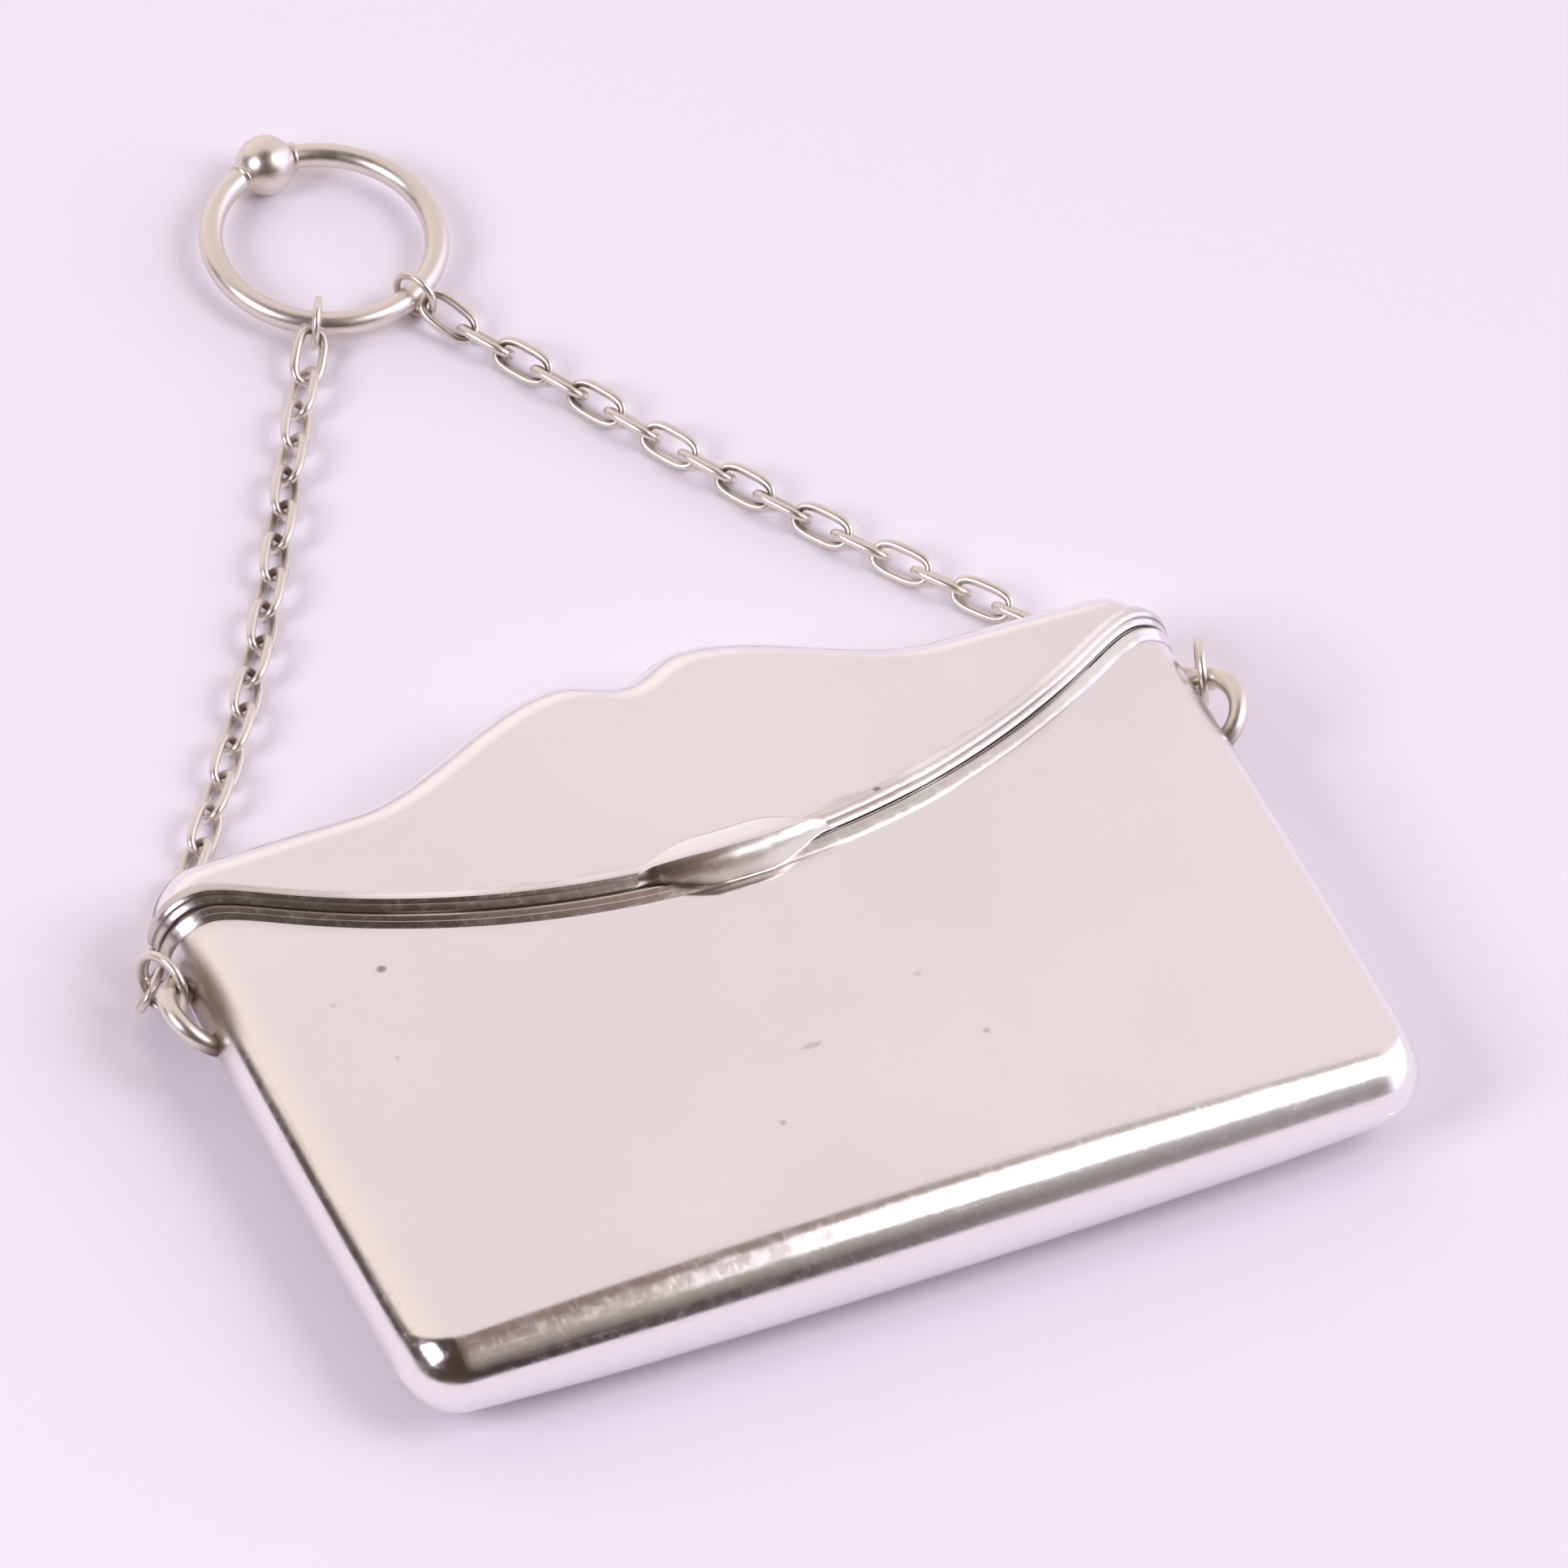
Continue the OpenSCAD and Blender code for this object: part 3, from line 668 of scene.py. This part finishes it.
mirrors = (("left", np.array([-1, 1, 1])), ("right", np.array([1, 1, 1])))
loop_r, loop_wire, loop_tilt, loop_in = 3.6 * mm, 1.7 * mm, np.radians(35), 0.5 * mm
loop_sides = 28
loop_turn = np.linspace(-np.pi / 2, np.pi / 2, 61)
loop_path = np.stack([half_w - loop_in + loop_r * np.cos(loop_turn) * np.cos(loop_tilt),
                      loop_y - rest_y + loop_r * np.sin(loop_turn),
                      mid_z + loop_r * np.cos(loop_turn) * np.sin(loop_tilt)], axis=-1)
loop_foot = np.repeat(np.abs(np.sin(loop_turn))**8, loop_sides)
jump_at = np.array([48.95 * mm, 51.33 * mm - rest_y, 6.16 * mm + paper_z])
jump_normal = unit(np.array([0.93, -0.344, 0.127]))
jump_r, jump_wire = 2.7 * mm, 0.84 * mm
for side, flip in mirrors:
    points, faces, turn = tube(loop_path * flip, loop_wire / 2, loop_sides, closed=False)
    make_piece(side + "_loop", points, faces, "case_body", side + "_side_loop",
               wire_silver, loop_foot)
    points, faces, turn = tube(ring_path(jump_at * flip, jump_normal * flip, jump_r),
                               jump_wire / 2)
    make_piece(side + "_jump", points, faces, "case_body", side + "_jump_ring",
               wire_silver, 0.5 * inside(turn))


# ---- Chain ------------------------------------------------------------------------------------
# Two strands of twenty oval links, each bent from round wire and soldered shut. Neighbours lie
# left and right in turn, and the strands bow in a little between the loops and the ring. The wire
# is worn thinner at the ends of a link, where its neighbours rub, and dirt sits there.
links = 20
link_reach, link_spread, link_power = 2.625 * mm, 1.275 * mm, 3.0
link_steps, link_sides = 56, 16
link_turn = np.linspace(0, 2 * np.pi, link_steps, endpoint=False) + np.pi / link_steps
worn_wire = 0.75 * mm + 0.11 * mm * np.sin(link_turn)**4
link_dirt = np.repeat(0.6 + 1.1 * np.cos(link_turn)**4, link_sides)
link_lean, start_lean, end_lean = np.radians([45, 24, -25])
strand_from, strand_to = np.array([50.7, 51]) * mm, np.array([4.72, 120.15]) * mm
strand_len = np.linalg.norm(strand_to - strand_from)
strand_bow = 1.8 * mm
start_z, lie_z, drop, end_rise, lift = np.array([4.6, 1.3, 11.2, 2.1, 8]) * mm
first_at, last_at = 3.15 * mm, strand_len - 3.75 * mm
a_bit = 0.05 * mm


def strand_point(s):
    """Where a strand is, s along it: a straight line bowed by a squared sine, which comes down
    from the loop and up to the ring along parabolas."""
    u = (strand_to - strand_from) / strand_len
    bow = np.array([-u[1], u[0]]) * strand_bow * np.sin(np.pi * s / strand_len)**2
    flat = strand_from + u * s + bow
    z = (lie_z + (start_z - lie_z) * max(0, 1 - s / drop)**2
         + end_rise * max(0, 1 - (strand_len - s) / lift)**2)
    return np.array([flat[0], flat[1] - rest_y, z + paper_z])


def link_path(k):
    """The centre line of link k: an oval between an ellipse and a box, laid along the strand and
    rolled about it, left and right in turn."""
    s = first_at + k * (last_at - first_at) / (links - 1)
    ahead = unit(strand_point(s + a_bit) - strand_point(s))
    flat = unit(np.cross([0, 0, 1], ahead))
    lean = (link_lean if k % 2 == 0 else -link_lean) + (start_lean if k < 2 else 0)
    if k == links - 1:
        lean = end_lean
    over = flat * np.cos(lean) + np.cross(ahead, flat) * np.sin(lean)
    cosine, sine = np.cos(link_turn), np.sin(link_turn)
    a = link_reach * np.sign(cosine) * np.abs(cosine)**(2 / link_power)
    b = link_spread * np.sign(sine) * np.abs(sine)**(2 / link_power)
    return strand_point(s) + a[:, None] * ahead + b[:, None] * over


def joined(tubes):
    """The points, faces and turns of tubes of one size, as one tube's after another's."""
    count = len(tubes[0][0])
    return (np.concatenate([points for points, faces, turn in tubes]),
            np.concatenate([faces + k * count for k, (points, faces, turn) in enumerate(tubes)]),
            np.concatenate([turn for points, faces, turn in tubes]))


for side, flip in mirrors:
    for part, body, first, last in (("first_link", "first_links", 0, 0),
                                    ("chain_root", "chain_root", 1, 6),
                                    ("fold_link", "fold_links", 7, 7),
                                    ("chain", "chain_outer", 8, 18),
                                    ("last_link", "last_links", 19, 19)):
        points, faces, turn = joined([tube(link_path(k) * flip, worn_wire / 2, link_sides)
                                      for k in range(first, last + 1)])
        make_piece(f"{side}_{part}_wire", points, faces, body, f"{side}_{part}",
                   wire_silver, np.tile(link_dirt, last + 1 - first) * inside(turn))


# ---- End rings and finger ring ----------------------------------------------------------------
# A small ring at the end of each strand holds the finger ring, a hoop of round wire threaded
# through a hollow ball, with a thin collar on each side of the ball.
ring_at = np.array([0, 129.4 * mm - rest_y, 2.3 * mm + paper_z])
ring_y = unit(np.array([0, 1, 0.03]))
ring_z = np.cross([1, 0, 0], ring_y)
ring_r, ring_wire_r, ring_sides = 10.1 * mm, 1.08 * mm, 32


def hoop_path(turns):
    """Points on the finger ring's centre line: a circle, by their turns from the right."""
    return ring_at + ring_r * (np.cos(turns)[:, None] * np.array([1, 0, 0])
                               + np.sin(turns)[:, None] * ring_y)


end_turn = np.radians(27)
end_reach, end_r, end_wire = 10.5 * mm, 2.1 * mm, 0.7 * mm
end_at = np.array([end_reach * np.sin(end_turn), ring_at[1] - end_reach * np.cos(end_turn),
                   end_r + end_wire / 2 + paper_z])
end_normal = np.array([np.cos(end_turn), np.sin(end_turn), 0])
for side, flip in mirrors:
    points, faces, turn = tube(ring_path(end_at * flip, end_normal * flip, end_r), end_wire / 2)
    make_piece(side + "_end", points, faces, "end_rings", side + "_end_ring",
               wire_silver, 0.6 * inside(turn))

points, faces, turn = tube(hoop_path(np.linspace(0, 2 * np.pi, 192, endpoint=False)),
                           ring_wire_r, ring_sides)
make_piece("ring_hoop", points, faces, "ring", "finger_ring", wire_silver,
           np.full(len(turn), 0.15))

# The ball is a sphere of rings about its bore, with tarnish where the hoop goes in.
ball_r, ball_angle = 2.72 * mm, np.radians(98)
ball_rows, ball_sides = 47, 72
polar = np.linspace(0, np.pi, ball_rows + 2)[1:-1, None]
around = np.linspace(0, 2 * np.pi, ball_sides, endpoint=False)[None]
ball_out = hoop_path(np.array([ball_angle]))[0] - ring_at
ball_axis = unit(np.cross(ring_z, ball_out))
ball = (np.cos(polar)[..., None] * ball_axis
        + (np.sin(polar) * np.cos(around))[..., None] * unit(ball_out)
        + (np.sin(polar) * np.sin(around))[..., None] * ring_z)
from_bore = np.pi / 2 - np.abs(polar - np.pi / 2)
make_piece("ring_bead", (ring_at + ball_out + ball_r * ball).reshape(-1, 3),
           strip_faces(ball_rows, ball_sides), "ring", "ring_ball", wire_silver,
           np.broadcast_to(bell(from_bore, 0.5), ball.shape[:2]))

# The collars are short tubes over the hoop, with a half ellipse for a profile.
collar_starts, collar_length, collar_steps = (-17.2, 13.2), 4, 17
bulge = np.sqrt(1 - np.linspace(-1, 1, collar_steps)**2)
collar_r = ring_wire_r * 0.96 + 0.34 * mm * bulge
collar_turns = [ball_angle + np.radians(np.linspace(start, start + collar_length, collar_steps))
                for start in collar_starts]
points, faces, turn = joined([tube(hoop_path(turns), collar_r, ring_sides, closed=False)
                              for turns in collar_turns])
make_piece("ring_collar_beads", points, faces, "ring", "ring_collars", wire_silver,
           np.full(len(turn), 0.5))

lines = [[list(map(float, corner_point)) for corner_point in box] for box in (cad_box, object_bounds())]
"[" + ",\n ".join(map(str, lines)) + "]\n"
